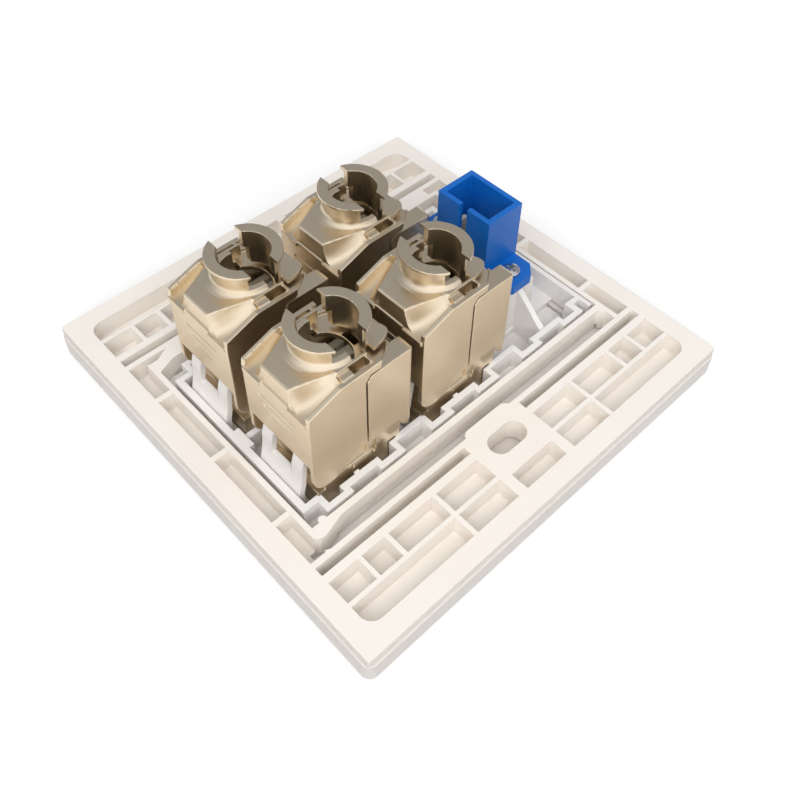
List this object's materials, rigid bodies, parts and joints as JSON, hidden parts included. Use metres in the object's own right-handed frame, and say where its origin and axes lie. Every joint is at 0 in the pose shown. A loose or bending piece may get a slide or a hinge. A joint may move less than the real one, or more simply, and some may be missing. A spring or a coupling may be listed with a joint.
{
  "type": "ethernet wall socket",
  "caption": "Square white wall plate with a ribbed rear, shielded die-cast network jacks in hinged caps with split cable collars, and a blue fibre adapter.",
  "frame": {"origin": "centre of the plate's front face", "axes": "+Z points out of the plate's rear, towards the cable collars; +X runs along the line between the two wall-box screws; +Y runs from the caps' front walls towards the fibre adapter"},
  "size_m": [0.0864, 0.0864, 0.0361],
  "materials": {
    "cover_plastic": "satin moulded",
    "frame_plastic": "satin moulded",
    "insert_plastic": "satin moulded",
    "jack_shell": "satin nickel on a zinc die casting",
    "steel": "turned",
    "dark_plastic": "moulded",
    "gold_contact": "plated strip",
    "board": "coated laminate",
    "ivory_plastic": "moulded",
    "tinned_blade": "tinned strip",
    "blue_plastic": "moulded",
    "ceramic": "ground",
    "screw_chrome": "plated"
  },
  "bodies": {
    "plate": {"cover_frame": "cover_plastic", "base_frame": "frame_plastic", "port_insert": "insert_plastic", "sc_housing": "blue_plastic", "sc_rear_holder": "ivory_plastic", "sc_front_holder": "ivory_plastic", "sc_sleeve": "ceramic", "sc_screws": "screw_chrome", "jack_1_body": "jack_shell", "jack_1_contact_carrier": "dark_plastic", "jack_1_contacts": "gold_contact", "jack_1_circuit_board": "board", "jack_1_wire_block": "ivory_plastic", "jack_1_wire_blades": "tinned_blade", "jack_2_body": "jack_shell", "jack_2_contact_carrier": "dark_plastic", "jack_2_contacts": "gold_contact", "jack_2_circuit_board": "board", "jack_2_wire_block": "ivory_plastic", "jack_2_wire_blades": "tinned_blade", "jack_3_body": "jack_shell", "jack_3_contact_carrier": "dark_plastic", "jack_3_contacts": "gold_contact", "jack_3_circuit_board": "board", "jack_3_wire_block": "ivory_plastic", "jack_3_wire_blades": "tinned_blade", "jack_4_body": "jack_shell", "jack_4_contact_carrier": "dark_plastic", "jack_4_contacts": "gold_contact", "jack_4_circuit_board": "board", "jack_4_wire_block": "ivory_plastic", "jack_4_wire_blades": "tinned_blade"},
    "cap_1": {"jack_1_cap": "jack_shell", "jack_1_hinge_pins": "steel", "jack_1_wire_guide": "dark_plastic"},
    "clamp_1": {"jack_1_clamp": "jack_shell"},
    "cap_2": {"jack_2_cap": "jack_shell", "jack_2_hinge_pins": "steel", "jack_2_wire_guide": "dark_plastic"},
    "clamp_2": {"jack_2_clamp": "jack_shell"},
    "cap_3": {"jack_3_cap": "jack_shell", "jack_3_hinge_pins": "steel", "jack_3_wire_guide": "dark_plastic"},
    "clamp_3": {"jack_3_clamp": "jack_shell"},
    "cap_4": {"jack_4_cap": "jack_shell", "jack_4_hinge_pins": "steel", "jack_4_wire_guide": "dark_plastic"},
    "clamp_4": {"jack_4_clamp": "jack_shell"}
  },
  "joints": [
    {"name": "jack_1_cap_hinge", "type": "hinge", "parent": "plate", "child": "cap_1", "pos_m": [0.0099, -0.0285, 0.0124], "axis": [1, 0, 0], "range_deg": [0, 60]},
    {"name": "jack_1_clamp_slide", "type": "slide", "parent": "plate", "child": "clamp_1", "axis": [0, 1, 0], "range_m": [-0.0015, 0.0017]},
    {"name": "jack_2_cap_hinge", "type": "hinge", "parent": "plate", "child": "cap_2", "pos_m": [-0.0099, -0.0285, 0.0124], "axis": [1, 0, 0], "range_deg": [0, 60]},
    {"name": "jack_2_clamp_slide", "type": "slide", "parent": "plate", "child": "clamp_2", "axis": [0, 1, 0], "range_m": [-0.0007, 0.0025]},
    {"name": "jack_3_cap_hinge", "type": "hinge", "parent": "plate", "child": "cap_3", "pos_m": [-0.0099, -0.0054, 0.0124], "axis": [1, 0, 0], "range_deg": [0, 4]},
    {"name": "jack_3_clamp_slide", "type": "slide", "parent": "plate", "child": "clamp_3", "axis": [0, 1, 0], "range_m": [0, 0.0032]},
    {"name": "jack_4_cap_hinge", "type": "hinge", "parent": "plate", "child": "cap_4", "pos_m": [0.0099, -0.0054, 0.0124], "axis": [1, 0, 0], "range_deg": [0, 4]},
    {"name": "jack_4_clamp_slide", "type": "slide", "parent": "plate", "child": "clamp_4", "axis": [0, 1, 0], "range_m": [0, 0.0032]}
  ]
}
